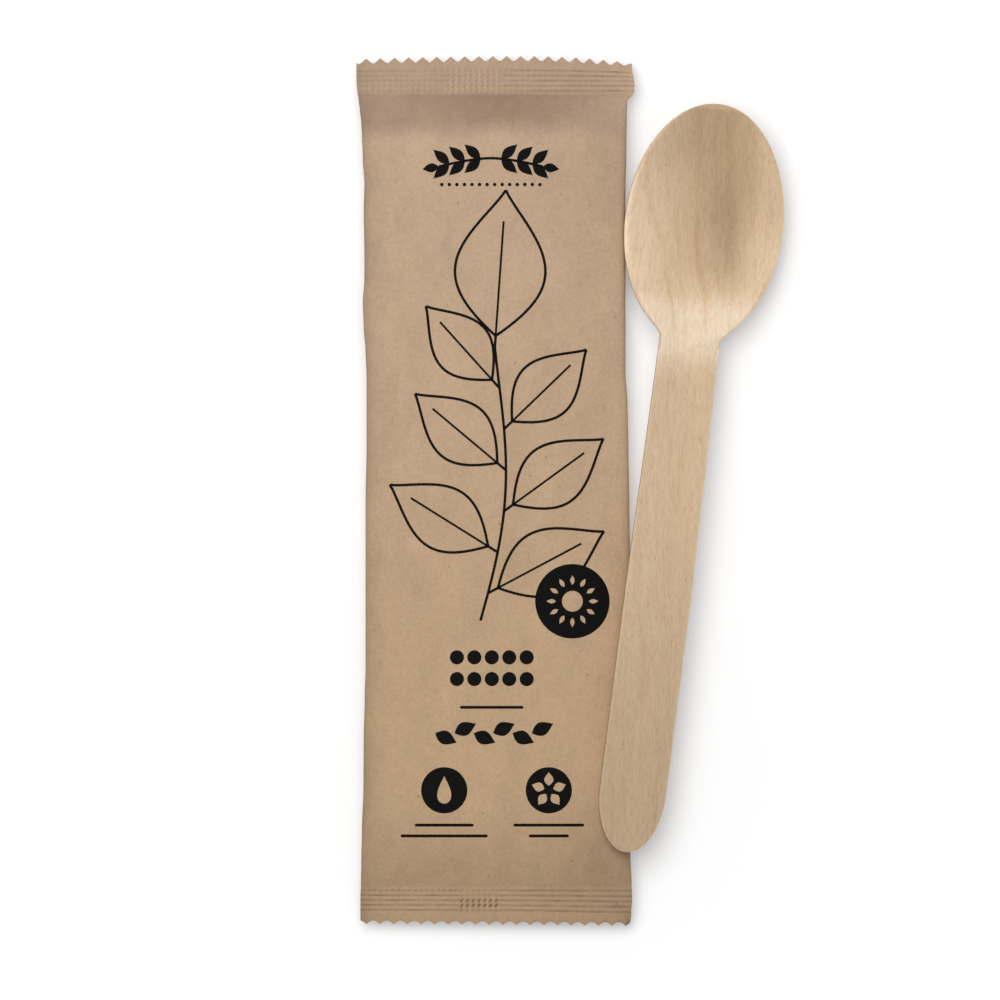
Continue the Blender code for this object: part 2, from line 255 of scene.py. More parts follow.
def arc_lengths(points):
    lengths = [0.0]
    for before, after in zip(points, points[1:]):
        lengths.append(lengths[-1] + (after - before).length)
    return lengths


def half_section(half_width, height, power):
    """Points (x, z) of one side of the pack's section, from its left fold to its right one."""
    points = []
    for step in range(ARC_STEPS + 1):
        angle = pi * (1 - step / ARC_STEPS)
        across = cos(angle)
        x = copysign(abs(across) ** (2 / power), across) * half_width
        z = abs(sin(angle)) ** (2 / power) * height
        points.append(Vector((x, z)))
    points[0] = Vector((-half_width, 0))
    points[-1] = Vector((half_width, 0))
    return points


def points_at(points, fractions):
    """Points at these fractions of a line's length."""
    lengths = arc_lengths(points)
    found = []
    step = 1
    for fraction in fractions:
        wanted = fraction * lengths[-1]
        while step < len(points) - 1 and lengths[step] < wanted:
            step += 1
        share = (wanted - lengths[step - 1]) / (lengths[step] - lengths[step - 1])
        found.append(points[step - 1].lerp(points[step], share))
    return found


class PackForm:
    """The paper's shape, from the settings: where a place of the web lies in the pack."""

    def __init__(self, size):
        self.size = size
        self.half_length = size.pack_length / 2
        self.seal_root = self.half_length - size.seal_depth
        self.width_at = functools.cache(self.solved_half_width)

    def fullness(self, y):
        bowl_end = 1 - (1 - clamp((self.seal_root - y) / BOWL_END_SHOULDER)) ** BOWL_END_STEEPNESS
        handle_end = 1 - (1 - clamp((self.seal_root + y) / HANDLE_END_SHOULDER)) ** HANDLE_END_STEEPNESS
        return min(bowl_end, handle_end)

    def full_thickness(self, y):
        share = clamp(0.5 + y / self.size.pack_length)
        return mix(self.size.handle_end_thickness, self.size.bowl_end_thickness, share)

    def thickness(self, y):
        return mix(SEAL_THICKNESS, self.full_thickness(y), self.fullness(y))

    def seal_share(self, y):
        return clamp((abs(y) - self.seal_root) / self.size.seal_depth)

    def mid_height(self, y):
        seal = SEAL_HEIGHT - SEAL_DROOP * self.seal_share(y)
        body = FIN_THICKNESS + self.full_thickness(y) / 2
        return mix(seal, body, self.fullness(y))

    def solved_half_width(self, step):
        """The girth of the paper stays the same, so the tube is narrower where it is thicker."""
        half_height = self.thickness(step * WIDTH_STEP) / 2

        def excess(width):
            front = arc_lengths(half_section(width, half_height, FRONT_ROUNDNESS))[-1]
            back = arc_lengths(half_section(width, half_height, BACK_ROUNDNESS))[-1]
            return front + back - 2 * self.size.flat_width

        return bisect(excess, self.size.flat_width / 4, self.size.flat_width / 2)

    def half_width(self, y):
        step = floor(y / WIDTH_STEP)
        return mix(self.width_at(step), self.width_at(step + 1), y / WIDTH_STEP - step)

    def rows(self):
        """Stations along the pack, closest in the seals, where the grooves are."""
        depth = self.size.seal_depth
        insets = [0.0, 1.4 * MM, 1.8 * MM, 2.2 * MM]
        insets += [mix(2.4 * MM, depth, step / 34) for step in range(35)]
        found = []
        for end, shoulder in ((-1, HANDLE_END_SHOULDER), (1, BOWL_END_SHOULDER)):
            found += [end * (self.half_length - inset) for inset in insets]
            found += [end * (self.seal_root - shoulder * (step / 34) ** 1.5) for step in range(1, 35)]
        first = HANDLE_END_SHOULDER - self.seal_root
        last = self.seal_root - BOWL_END_SHOULDER
        found += [mix(first, last, step / 96) for step in range(1, 96)]
        return sorted(found)

    def cut_line(self, y, fraction):
        """How far the cut, and with it the outer grooves, bends in towards the body."""
        outer = self.seal_share(y)
        if y > 0:
            left = 0.64 * MM * max(1 - fraction / 0.6, 0.0) ** 2
            right = 1.6 * MM * max(fraction / 0.4 - 1.5, 0.0) ** 2.4
            return (left + right) * outer**2.5
        sag = 0.55 * MM * smooth(0.55, 1.0, fraction) * (outer - outer**4)
        return 0.4 * MM * (1 - fraction) * outer - sag

    def tooth_cut(self, fraction, end):
        """How far a toothed edge lies inside its tips. The handle end's notches are rounded."""
        if end > 0:
            wave = abs(1 - (1.59 + 38.81 * fraction + 0.77 * fraction**2) % 2)
            worn = 1 - 0.45 * smooth(0.88, 1.0, fraction)
            return wave * self.size.tooth_depth * worn
        wave = abs(1 - (fraction * 39.5 + 0.12) % 2)
        return sin(wave * pi / 2) * self.size.tooth_depth * 0.62

    def crimp(self, x, inset, end):
        """How deep the sealing jaws have pressed a place, as (grooves, dents). Raised ribs are below 0."""
        row = (inset - FIRST_GROOVE) / CRIMP_PITCH
        if not -0.6 < row < CRIMP_GROOVES - 0.4:
            return 0.0, 0.0
        nearest = min(max(round(row), 0), CRIMP_GROOVES - 1)
        off = row - nearest
        line = hump(off * CRIMP_PITCH, 0, self.size.groove_width)
        back = 0.36 * (0.5 - abs(off)) / 0.14
        lean = copysign(min(abs(off), back), off) * KNURL_LEAN * CRIMP_PITCH
        start = BOWL_END_KNURL if end > 0 else HANDLE_END_KNURL
        wave = cos(2 * pi * (x + end * lean - start) / self.size.knurl_pitch)
        dent = max(wave, 0.0) ** 1.3 * hump(off, 0, 0.42)
        ribs = 0.0
        wobble = 0.75 + 0.5 * noise.noise(Vector((x * 260, row * 1.3, 3.0 + end)))
        at = x / MM
        if end > 0:
            left = 1 - smooth(-11.0, -10.4, at)
            seam = (1 - left) * (1 - smooth(0.3, 1.2, at))
            right = smooth(0.3, 2.0, at)
            lined = 0.12 * seam + mix(0.5, 0.95, smooth(2, 12, at)) * right
            lined += left * (0.26 + 0.3 * smooth(-18, -26, at) * (nearest < 2))
            dented = 0.3 * seam + left * (0.42 if nearest > 1 else 0.12)
            dented += right * mix(0.34, 0.12, smooth(6, 15, at))
            ribs = 0.23 * seam * wave * mix(0.75, 1.0, smooth(0.5, 3.0, row))
        else:
            seam = smooth(-8.2, -7.8, at) * (1 - smooth(0.2, 0.6, at))
            lined = 1.0 - 0.6 * seam
            dented = seam * (0.8, 2.3, 2.3, 0.5, 0.4)[nearest]
            if nearest == CRIMP_GROOVES - 1:
                dotted = 1 - smooth(-9, -4, at)
                lined -= 0.4 * dotted
                dented += 0.5 * dotted
            dented += 0.08 * (1 - seam)
        fade = clamp((row + 0.6) * 4) * clamp((CRIMP_GROOVES - 0.4 - row) * 4)
        return line * lined * fade * wobble, (dent * dented * mix(1.0, wobble, 0.5) + ribs) * fade

    def relief(self, x, y):
        """Soft unevenness of the free paper, in metres."""
        free = 1 - self.seal_share(y) * 0.7
        run = self.seal_root - abs(y)
        place = Vector((x * 42, y * 24, 0.4))
        broad = noise.noise(place) + 0.5 * noise.noise(place * 2.3 + Vector((3, 1, 0)))
        edge = smooth(17 * MM, 27 * MM, abs(x)) * noise.noise(Vector((x * 20, y * 130, 2.6)))
        gathers = smooth(24 * MM, 2 * MM, run) * clamp(run / (3 * MM))
        gathers *= noise.noise(Vector((x * 170, y * 22, 5.0 + copysign(1, y))))
        ripple = noise.noise(Vector((x * 420, y * 30, 7.7)))
        height = 0.7 * broad + 0.55 * edge + 0.45 * gathers + 0.05 * ripple
        return height * free * self.size.wrinkle_height

    def tone(self, x, y, grooves, dents, front):
        """The paper's tint at a place in mm, which multiplies the plain kraft. Besides cloudy tone, a warmer
        hue towards the handle end and darker seals, it holds painted shade and painted light.
        """
        left, right = side_folds(y)
        root = abs(y) - self.seal_root / MM
        pressed = smooth(-0.6, 0.5, root)
        free = 1 - pressed
        cloud = 0.07 * noise.noise(Vector((x * 0.15, y * 0.095, 9.0)))
        cloud += 0.05 * noise.noise(Vector((x * 0.42, y * 0.3, 4.0)))
        # Painted shade band on the front, just under the bowl end's seal.
        band = 0.0
        if y > 0 and front:
            edge = 1.6 * noise.noise(Vector((x * 0.09, 0.3, 6.0)))
            band = smooth(73.4, 79.4, y + edge) * smooth(0.9, -0.5, root)
            band *= 0.21 + 0.15 * hump(x, -0.6, 13) + 0.04 * hump(x, -23, 9)
            band *= 1 - 0.18 * smooth(8, 20, x)
        shade = 1 + cloud * (1 - 0.5 * pressed) - band
        if y > 0:
            shade -= 0.13 * pressed + 0.07 * free * smooth(0, 22, x) * smooth(40, 70, y)
        else:
            shade -= pressed * (0.07 + 0.12 * smooth(-5, 28, x))
            # Painted shade on the slope down to the handle end's seal.
            shade -= free * smooth(-66, -81, y) * (0.08 + 0.06 * smooth(-8, -28, x))
            # Painted shadow of the loose spoon's handle end, towards the pack's lower right.
            shade -= 0.17 * free * smooth(-55, -80, y) * smooth(5, 28, x)
        # Painted shade along the left fold, in uneven patches.
        left_fold_shade_patches = 0.75 + 0.7 * noise.noise(Vector((0.2, y * 0.045, 1.0)))
        shade -= 0.30 * left_fold_shade_patches * exp(-max(x - left, 0) / 2.2)
        # The right fold is painted lighter towards the bowl end and a little darker towards the handle end.
        shade += mix(-0.04, 0.19, smooth(-70, 10, y)) * exp(-max(right - x, 0) / 2.4)
        # Painted shade on the curled lower right corner.
        shade -= 0.45 * smooth(27.0, 28.3, x) * smooth(-91.0, -92.2, y)
        # Painted shade in the seals' grooves and dents, and painted light on the raised ribs where dents are
        # below 0.
        shade *= (1 - 0.36 * clamp(grooves)) * (1 - 0.36 * min(dents, 1.6))
        warm = smooth(70, -60, y)
        # blush gives the painted shade band and the seals a pinker, greyer hue.
        blush = band + 0.10 * pressed
        green, blue = 1 - 0.05 * warm - 0.10 * blush, 1 - 0.15 * warm + 0.06 * blush
        return shade * (1 - 0.015 * warm), shade * green, shade * blue, 1.0

    def point(self, y, place, fraction, outward, fin_depth):
        """A place of the web, and its tint with painted shade and light."""
        end = copysign(1, y)
        inset = self.half_length - abs(y)
        left, right = side_folds(y / MM)
        x = mix(left, right, 0.5 + place.x / self.half_width(y) / 2) * MM
        grooves, dents = self.crimp(x, inset, end)
        pressed = (grooves + 0.9 * dents) * self.size.groove_depth
        z = self.mid_height(y) + outward * place.y - pressed
        if fin_depth:
            z = self.mid_height(y) - self.thickness(y) / 2 - fin_depth - pressed
        elif outward > 0:
            z += self.relief(x, y) * clamp(place.y / (0.3 * self.thickness(y) + 0.1 * MM))
        along = y - end * self.cut_line(y, fraction)
        if inset < 0.01 * MM:
            along -= end * self.tooth_cut(fraction, end)
        curl, inner, outer, reach = (1.3, 25.5, 29, 5) if end > 0 else (0.8, 26.4, 28.4, 3.5)
        z -= curl * MM * smooth(inner, outer, x / MM) * smooth(reach, 0, inset / MM)
        return Vector((x, along, z)), self.tone(x / MM, y / MM, grooves, dents, outward > 0)


def grid(mesh, columns, rows):
    """The vertices of a new sheet, one row after another."""
    made = bmesh.ops.create_grid(mesh, x_segments=columns - 1, y_segments=rows - 1, size=1)
    return sorted(made["verts"], key=lambda vertex: (round(vertex.co.y, 5), vertex.co.x))


def plain_columns(count):
    return [(step / count, 0.0) for step in range(count + 1)]


def back_columns(size):
    """Fractions across the back, each with the depth by which the folded fin stands out there."""
    fold = 0.5 + FIN_FOLD_X / size.flat_width
    free_edge = fold - size.fin_width / size.flat_width
    run = FIN_EDGE_RUN / size.flat_width
    columns = []
    for fraction, _ in plain_columns(BACK_COLUMNS):
        inside = free_edge + run < fraction < fold - run
        if inside or not free_edge - 2 * run < fraction < fold + 2 * run:
            columns.append((fraction, FIN_THICKNESS if inside else 0.0))
    columns += [(free_edge - run, 0.0), (free_edge, FIN_THICKNESS)]
    columns += [(fold, FIN_THICKNESS), (fold + run, 0.0)]
    return sorted(columns)


def add_web_side(mesh, form, columns, outward, power):
    """One side of the paper tube as a sheet tinted with colour, painted shade and painted light. It gives the
    edges of its two toothed ends.
    """
    rows = form.rows()
    vertices = grid(mesh, len(columns), len(rows))
    tint_and_painted_shading = mesh.verts.layers.float_color["tint_and_painted_shading"]
    fractions = [fraction for fraction, _ in columns]
    for number, y in enumerate(rows):
        section = half_section(form.half_width(y), form.thickness(y) / 2, power)
        line = vertices[number * len(columns) : (number + 1) * len(columns)]
        for vertex, place, (fraction, fin_depth) in zip(line, points_at(section, fractions), columns):
            vertex.co, vertex[tint_and_painted_shading] = form.point(y, place, fraction, outward, fin_depth)
    ends = (vertices[: len(columns)], vertices[-len(columns) :])
    return [[mesh.edges.get(pair) for pair in zip(line, line[1:])] for line in ends]


def build_paper(form):
    mesh = bmesh.new()
    mesh.verts.layers.float_color.new("tint_and_painted_shading")
    front_ends = add_web_side(mesh, form, plain_columns(FRONT_COLUMNS), 1, FRONT_ROUNDNESS)
    back_ends = add_web_side(mesh, form, back_columns(form.size), -1, BACK_ROUNDNESS)
    for front, back in zip(front_ends, back_ends):
        bmesh.ops.bridge_loops(mesh, edges=front + back)
    bmesh.ops.remove_doubles(mesh, verts=mesh.verts, dist=0.002 * MM)
    bmesh.ops.recalc_face_normals(mesh, faces=mesh.faces)
    return mesh


# Drawing on the front


def stroke(mesh, path, width):
    """A line of even width along a path of (x, y) points, as a flat strip."""
    points = [Vector(point) for point in path]
    made = bmesh.ops.create_grid(mesh, x_segments=len(points) - 1, y_segments=1, size=1)
    vertices = sorted(made["verts"], key=lambda vertex: (round(vertex.co.x, 5), vertex.co.y))
    for number, point in enumerate(points):
        ahead = points[min(number + 1, len(points) - 1)]
        behind = points[max(number - 1, 0)]
        side = (ahead - behind).normalized().orthogonal() * width / 2
        vertices[2 * number].co = (*(point + side), 0)
        vertices[2 * number + 1].co = (*(point - side), 0)


def fill(mesh, outlines):
    """A flat area inside the first outline and outside the others."""
    edges = []
    for outline in outlines:
        corners = [mesh.verts.new((*point, 0)) for point in outline]
        edges += [mesh.edges.new((corners[step - 1], corners[step])) for step in range(len(corners))]
    bmesh.ops.triangle_fill(mesh, edges=edges, use_beauty=True, use_dissolve=False, normal=(0, 0, 1))


def turned(points, centre, angle):
    """Points drawn round the origin, turned and moved to a centre."""
    cosine, sine = cos(angle), sin(angle)
    return [(centre[0] + (x * cosine - y * sine), centre[1] + (x * sine + y * cosine)) for x, y in points]


def circle(centre, radius, steps=64):
    turns = [2 * pi * step / steps for step in range(steps)]
    return [(centre[0] + radius * cos(turn), centre[1] + radius * sin(turn)) for turn in turns]


def leaf_side(side, reach, half_width, steps=28):
    """One edge of a leaf that grows along +Y from the origin."""
    points = []
    for step in range(steps + 1):
        share = step / steps
        points.append((side * half_width * sin(pi * share**0.85) ** 1.15, reach * share))
    return points


def leaf(reach, half_width, steps=20):
    """The closed outline of a leaf that grows along +Y from the origin."""
    return leaf_side(-1, reach, half_width, steps) + leaf_side(1, reach, half_width, steps)[-2:0:-1]


def fill_leaf(mesh, foot, degrees, reach, half_width):
    """A black leaf, with its sizes in mm."""
    fill(mesh, [turned(leaf(reach * MM, half_width * MM), foot, radians(degrees))])


def stem_point(share):
    """The drawn twig's stem, from its foot up to the base of its top leaf."""
    across = mix(-3.5, 1.0, share) + 3.2 * sin(share * pi * 1.15)
    return across * MM, mix(-27.5, 30.5, share) * MM


def draw_twig(mesh, width):
    """A tall twig with outlined leaves in turn on its two sides."""
    stroke(mesh, [stem_point(step / 60) for step in range(61)], width)
    leaves = [(1.0, -4, 31, 9.6)]
    for number, share in enumerate((0.10, 0.25, 0.40, 0.55, 0.70, 0.85)):
        side = -1 if number % 2 else 1
        leaves.append((share, -side * (62 - 4 * number), 25.5 - 0.9 * number, 6.9 - 0.15 * number))
    for share, tilt, reach, half_width in leaves:
        foot = stem_point(share)
        angle = radians(tilt)
        stalk = [(0, 0), (0, 1.2 * MM), (0, 2.4 * MM)]
        stroke(mesh, turned(stalk, foot, angle), width)
        base = turned([(0, 2.4 * MM)], foot, angle)[0]
        for side in (-1, 1):
            stroke(mesh, turned(leaf_side(side, reach * MM, half_width * MM), base, angle), width)
        rib = [(0, reach * MM * step / 14) for step in range(12)]
        stroke(mesh, turned(rib, base, angle), width * 0.8)


def leaf_ring(centre, count, inner, reach, half_width, steps=20):
    """Outlines of leaves set round a centre and pointing outwards."""
    outlines = []
    for number in range(count):
        angle = 2 * pi * number / count
        base = turned([(0, inner)], centre, angle)[0]
        outlines.append(turned(leaf(reach, half_width, steps), base, angle))
    return outlines


def draw_sun(centre, radius):
    """Outlines of a small disc and twelve short rays, for a badge."""
    rays = leaf_ring(centre, 12, radius * 0.44, radius * 0.26, radius * 0.06, 12)
    return [circle(centre, radius * 0.28, 40), *rays]


def draw_flower(centre, radius):
    """Outlines of five petals, for a badge."""
    return leaf_ring(centre, 5, radius * 0.2, radius * 0.58, radius * 0.2)


def draw_drop(centre, radius):
    """The outline of a water drop, for a badge."""
    points = []
    for step in range(40):
        turn = 2 * pi * step / 40
        x = 0.42 * sin(turn) * sin(turn / 2) ** 1.3
        points.append((x * radius, (0.6 * cos(turn) + 0.02) * radius))
    return [turned(points, centre, 0)]


def round_bar(centre, bar_length, height):
    """A bar with round ends."""
    radius = height / 2
    reach = bar_length / 2 - radius
    points = []
    for side in (1, -1):
        for step in range(13):
            turn = pi * (step / 12 - 0.5 * side)
            across = side * reach + radius * cos(turn)
            points.append((centre[0] + across, centre[1] + radius * sin(turn)))
    return points


def lay_on_paper(mesh, paper, height):
    """Cuts a flat drawing about every millimetre and drops it onto the paper's front."""
    for axis in (0, 1):
        places = [vertex.co[axis] for vertex in mesh.verts]
        normal = Vector((1 - axis, axis, 0))
        for step in range(ceil(min(places) / MM), ceil(max(places) / MM)):
            geometry = list(mesh.verts) + list(mesh.edges) + list(mesh.faces)
            place = normal * step * MM
            bmesh.ops.bisect_plane(mesh, geom=geometry, dist=1e-7, plane_co=place, plane_no=normal)
    tree = BVHTree.FromObject(paper, bpy.context.evaluated_depsgraph_get())
    for vertex in mesh.verts:
        hit = tree.ray_cast(vertex.co + Vector((0, 0, 0.05)), Vector((0, 0, -1)))[0]
        if hit is None:
            raise RuntimeError(f"the print at {vertex.co} lies off the paper")
        vertex.co.z = hit.z + height
    bmesh.ops.recalc_face_normals(mesh, faces=mesh.faces)
    below = [face for face in mesh.faces if face.normal.z < 0]
    bmesh.ops.reverse_faces(mesh, faces=below)


# The spoon


def smooth_maximum(first, second, blend):
    near = max(blend - abs(first - second), 0.0) / blend
    return max(first, second) + near * near * blend / 4


class SpoonForm:
    """The spoon's shape, from the settings, measured from the end of its handle."""

    def __init__(self, size):
        self.size = size
        self.bowl_centre = size.spoon_length - BOWL_TIP_LENGTH
        share = NECK_HALF_WIDTH / size.bowl_half_width
        self.neck = self.bowl_centre - BOWL_NECK_LENGTH * sqrt(1 - share**2)
        self.shares = [step / 14 - 1 for step in range(29)]

    def along_bowl(self, station):
        offset = station - self.bowl_centre
        return offset / (BOWL_TIP_LENGTH if offset > 0 else BOWL_NECK_LENGTH)

    def half_width(self, station):
        from_end = clamp(station / HANDLE_END_ROUND)
        handle = mix(HANDLE_HALF_WIDTH, NECK_HALF_WIDTH, clamp((station / self.neck - 0.5) * 2))
        handle *= sqrt(max(1 - (1 - from_end) ** 2, 0.0))
        bowl = self.size.bowl_half_width * sqrt(max(1 - self.along_bowl(station) ** 2, 0.0))
        if station > self.neck + NECK_FILLET:
            return bowl
        return smooth_maximum(handle, bowl, NECK_FILLET) if station > self.neck - NECK_FILLET else handle

    def height(self, station, across):
        if station < self.neck:
            line = HANDLE_ARCH * (1 - (2 * station / self.neck - 1) ** 2)
        else:
            run = (station - self.neck) / (self.size.spoon_length - self.neck)
            line = -RIM_DIP * sin(pi * run)
        line += TIP_LIFT * max(self.along_bowl(station), 0.0) ** 2
        out = self.along_bowl(station) ** 2 + (across / self.size.bowl_half_width) ** 2
        return line - self.size.bowl_depth * max(1 - out, 0.0) ** BOWL_WALL_POWER

    def plan(self):
        """Rows of (across, station) places that end in the two round ends' own outlines."""
        rows = []
        for step in range(21):
            row = self.round_row(1 - step / 20, HANDLE_END_ROUND, -HANDLE_END_ROUND, HANDLE_HALF_WIDTH)
            rows.append(row)
        first, last = self.neck - 2 * NECK_FILLET, self.neck + 3 * NECK_FILLET
        straight = [mix(HANDLE_END_ROUND, first, step / 84) for step in range(1, 85)]
        straight += [mix(first, last, step / 40) for step in range(1, 41)]
        straight += [mix(last, self.bowl_centre, step / 20) for step in range(1, 20)]
        for station in straight:
            half_width = self.half_width(station)
            rows.append([(half_width * share, station) for share in self.shares])
        for step in range(31):
            width = self.size.bowl_half_width
            rows.append(self.round_row(step / 30, self.bowl_centre, BOWL_TIP_LENGTH, width))
        return rows

    def round_row(self, bulge, centre, reach, half_width):
        """A row across a round end. It's straight at the end's centre and follows the outline at its tip."""
        angle = radians(mix(90, 42, bulge))
        row = []
        for share in self.shares:
            across = mix(share * sin(angle), sin(share * angle), bulge)
            along = cos(angle) + bulge * (cos(share * angle) - cos(angle))
            row.append((half_width * across, centre + reach * along))
        return row

    def tint_and_painted_shading(self, place, local):
        """The wood's tint, which multiplies the plain birch, and its place across the growth rings in mm. The
        tint is mostly painted light and shade of the bowl, neck and handle.
        """
        x, y = place.x / MM, place.y / MM
        # Painted light on the bowl's left wall.
        painted_light_left_wall = smooth(38.0, 29.4, x) * smooth(79, 58, y) * smooth(34, 42, y)
        # Painted shade in the bowl's hollow, partly a darker figure band, and on its right wall; depth sets
        # how dark.
        depth = 0.31 + (0.11 + 0.05 * hump(x, 48.8, 2.0)) * hump(y, 58.0, 9.0)
        far_side = mix(55.5, 58.0, smooth(58.0, 68.0, y))
        hollow_shade_and_figure = smooth(32.6, 48.5, x) ** 1.2 * smooth(far_side, 49.2, x) * smooth(37.5, 49.0, y)
        painted_shade_right_wall = 0.35 * smooth(49.2, 54.0, x) * smooth(46.0, 60.0, y)
        # Painted light on the neck's slope up from the bowl.
        neck = smooth(44.0, 36.5, y) * smooth(23.5, 33.0, y)
        # The handle is painted darker towards its end.
        shade = mix(0.935, 1.06, smooth(22.0, 34.0, y)) - 0.18 * smooth(10.0, -75.0, y)
        # Painted shade at the bowl's tip.
        shade -= 0.09 * smooth(64.0, 76.0, y) * smooth(50.0, 40.0, x)
        shade += 0.20 * painted_light_left_wall + 0.19 * neck - depth * (hollow_shade_and_figure + painted_shade_right_wall)
        below = self.height(local.y, local.x) - local.z
        across = local.x / max(self.half_width(local.y), 1 * MM)
        edge = max(abs(across), abs(self.along_bowl(local.y)) if local.y > self.bowl_centre else 0.0)
        # Below: the underside at one even tone, the sides darker, a painted highlight on the rim's upper left
        # with painted shade on its lower part, and a painted highlight along the handle's edges.
        if below > 1.3 * MM and edge < 0.94:
            shade = 0.93
        elif below > 0.45 * MM:
            shade *= 0.8
        elif y > 30 and edge > 0.955:
            lit = smooth(8.0, -8.0, (x - 44.0) - 0.4 * (y - 56.0)) * smooth(44.0, 54.0, y)
            shade *= 1 + 0.16 * lit - 0.16 * smooth(50.0, 40.0, y)
        elif y < 30 and edge > 0.95:
            shade *= 1.08
        bend = 3.8 * smooth(66, 48, y) + 3.9 * smooth(48, 34, y) * smooth(60, 48, y)
        bend = mix(bend, 1.7 * smooth(50, 41, y) - 0.4 * smooth(62, 55, y), smooth(35, 42.5, x))
        ring = x - bend * smooth(53, 46, x)
        green, blue = shade**1.16 * (1 + 0.03 * neck), shade**1.38 * (1 + 0.10 * neck)
        return (shade * (1 - 0.02 * neck), green, blue, 1.0), ring if below < 0.45 * MM else 0.0


def build_spoon(form):
    """The upper face as a sheet, extruded straight down as the press cuts and forms the veneer."""
    mesh = bmesh.new()
    mesh.verts.layers.float_color.new("tint_and_painted_shading")
    mesh.verts.layers.float.new("ring")
    plan = form.plan()
    for number, vertex in enumerate(grid(mesh, len(form.shares), len(plan))):
        across, station = plan[number // len(form.shares)][number % len(form.shares)]
        vertex.co = Vector((across, station, form.height(station, across)))
    upper = list(mesh.faces)
    lower = bmesh.ops.extrude_face_region(mesh, geom=upper, use_keep_orig=True)["geom"]
    moved = [item for item in lower if isinstance(item, bmesh.types.BMVert)]
    bmesh.ops.translate(mesh, verts=moved, vec=(0, 0, -form.size.veneer))
    bmesh.ops.recalc_face_normals(mesh, faces=mesh.faces)
    walled = [edge for edge in mesh.edges if len(edge.link_faces) == 2]
    rim = [edge for edge in walled if edge.calc_face_angle() > radians(50)]
    bmesh.ops.bevel(
        mesh, geom=rim, offset=form.size.edge_round, segments=3, profile=0.5, affect="EDGES",
        material=-1, clamp_overlap=True,
    )
    broad = [edge for edge in mesh.edges if edge.calc_length() > 0.3 * MM]
    bmesh.ops.subdivide_edges(mesh, edges=broad, cuts=1, use_grid_fill=True)
    ring, tint_and_painted_shading = mesh.verts.layers.float["ring"], mesh.verts.layers.float_color["tint_and_painted_shading"]
    turn = Euler((-SPOON_PITCH, SPOON_ROLL, -SPOON_TURN), "YXZ").to_matrix()
    for vertex in mesh.verts:
        local = vertex.co.copy()
        vertex.co = SPOON_ORIGIN + turn @ local
        vertex[tint_and_painted_shading], vertex[ring] = form.tint_and_painted_shading(vertex.co, local)
    return mesh


# Materials


def linear(value):
    return (*Color(value[:3]).from_srgb_to_scene_linear(), 1.0)


class Shader:
    """The node tree of a material or world, with one short call for each node."""

    def __init__(self, owner, shown="Principled BSDF"):
        owner.use_nodes = True
        self.owner = owner
        self.tree = owner.node_tree
        self.inputs = self.tree.nodes[shown].inputs

    def add(self, kind, inputs=(), **properties):
        """A node with its properties set and its inputs given as (name or number, value or socket)."""
        made = self.tree.nodes.new("ShaderNode" + kind)
        for name, value in properties.items():
            setattr(made, name, value)
        for name, value in inputs:
            self.set(made.inputs[name], value)
        return made

    def set(self, socket, value):
        if isinstance(value, bpy.types.NodeSocket):
            self.tree.links.new(value, socket)
        else:
            socket.default_value = value

    def coordinates(self, centre=(0, 0, 0), turn=0.0, stretch=(1, 1, 1)):
        """Object coordinates from a centre, turned about Z and stretched."""
        source = self.add("TexCoord").outputs["Object"]
        place = [("Vector", source), ("Location", centre), ("Rotation", (0, 0, turn))]
        local = self.add("Mapping", place, vector_type="TEXTURE").outputs["Vector"]
        return self.add("Mapping", [("Vector", local), ("Scale", stretch)]).outputs["Vector"]

    def noise(self, vector, scale, detail=3.0, roughness=0.5, distortion=0.0):
        names = ("Vector", "Scale", "Detail", "Roughness", "Distortion")
        values = (vector, scale, detail, roughness, distortion)
        return self.add("TexNoise", zip(names, values)).outputs["Fac"]

    def ramp(self, value, low, high, out_low=0.0, out_high=1.0):
        """value taken from the range low to high to another range, with eased ends."""
        names = ("Value", "From Min", "From Max", "To Min", "To Max")
        values = (value, low, high, out_low, out_high)
        made = self.add("MapRange", zip(names, values), interpolation_type="SMOOTHSTEP")
        return made.outputs["Result"]

    def math(self, operation, first, second=0.0):
        return self.add("Math", [(0, first), (1, second)], operation=operation).outputs[0]

    def blend(self, factor, first, second, mode="MIX"):
        made = self.add("Mix", data_type="RGBA", blend_type=mode)
        self.set(made.inputs[0], factor)
        self.set(made.inputs[6], first)
        self.set(made.inputs[7], second)
        return made.outputs[2]

    def stained(self, base, stains):
        """The base with each stain, given as (mask, sRGB colour), laid over it in turn."""
        for mask, tone in stains:
            base = self.blend(mask, base, linear(tone))
        return base

    def attribute(self, name, output="Fac"):
        return self.add("Attribute", attribute_name=name).outputs[output]

    def bump(self, height, distance, normal=None):
        inputs = [("Height", height), ("Distance", distance), ("Strength", 1.0)]
        if normal is not None:
            inputs.append(("Normal", normal))
        return self.add("Bump", inputs).outputs["Normal"]

    def finished(self, base, roughness, specular, **others):
        """The material, with these inputs of its principled shader set."""
        named = {"Base Color": base, "Roughness": roughness, "Specular IOR Level": specular, **others}
        for name, value in named.items():
            self.set(self.inputs[name], value)
        return self.owner


